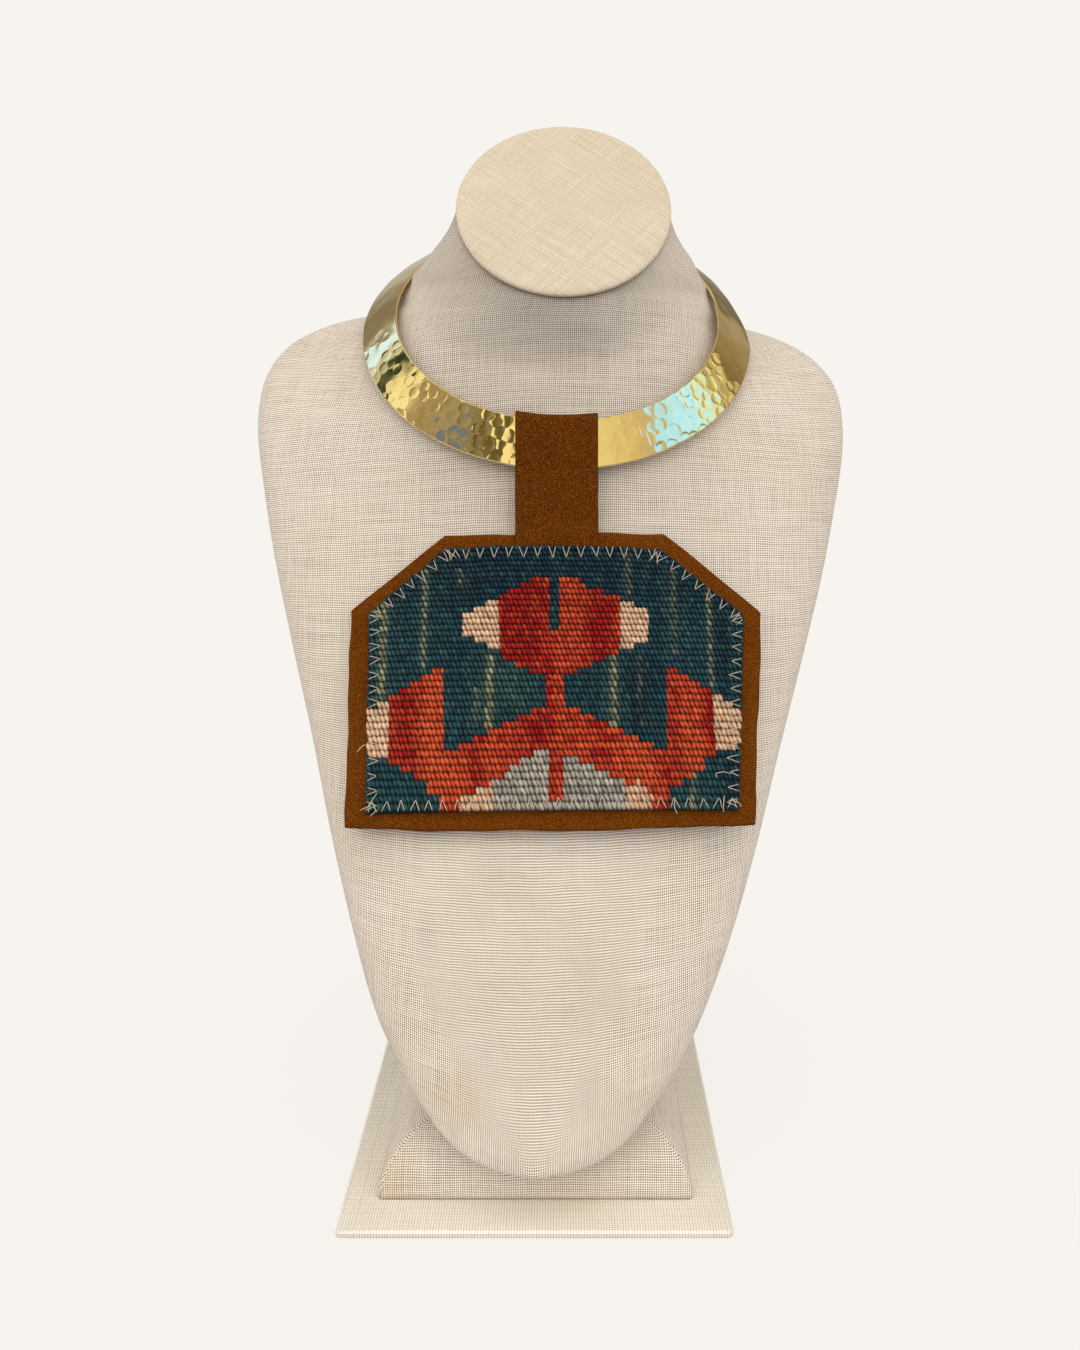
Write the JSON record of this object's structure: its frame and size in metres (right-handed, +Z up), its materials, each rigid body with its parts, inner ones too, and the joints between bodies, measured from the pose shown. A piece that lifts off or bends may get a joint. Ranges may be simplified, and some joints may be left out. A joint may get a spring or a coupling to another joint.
{
  "type": "choker necklace on a linen display bust",
  "caption": "hammered brass open collar with a suede strap loop and a woven kilim bib panel, worn by a leaning linen neck bust on a padded block and a flat board",
  "frame": {"origin": "under the middle of the bounding box, on the surface that the board stands on", "axes": "+Z up; -Y is the front, where the panel faces; +X is to the viewer's right in the front view"},
  "size_m": [0.2332, 0.2022, 0.3686],
  "materials": {
    "linen": "open plain-weave linen",
    "board_linen": "coarse linen",
    "brass": "hammered and polished",
    "suede": "brushed suede",
    "kilim_wool": "flat-woven wool"
  },
  "bodies": {
    "root": {"base_board": "board_linen", "plinth_block": "linen", "support_post": "linen", "bust_form": "linen", "neck_cap": "linen", "collar": "brass", "hanger_strap": "suede", "suede_backing": "suede", "kilim_panel": "kilim_wool"}
  },
  "joints": []
}
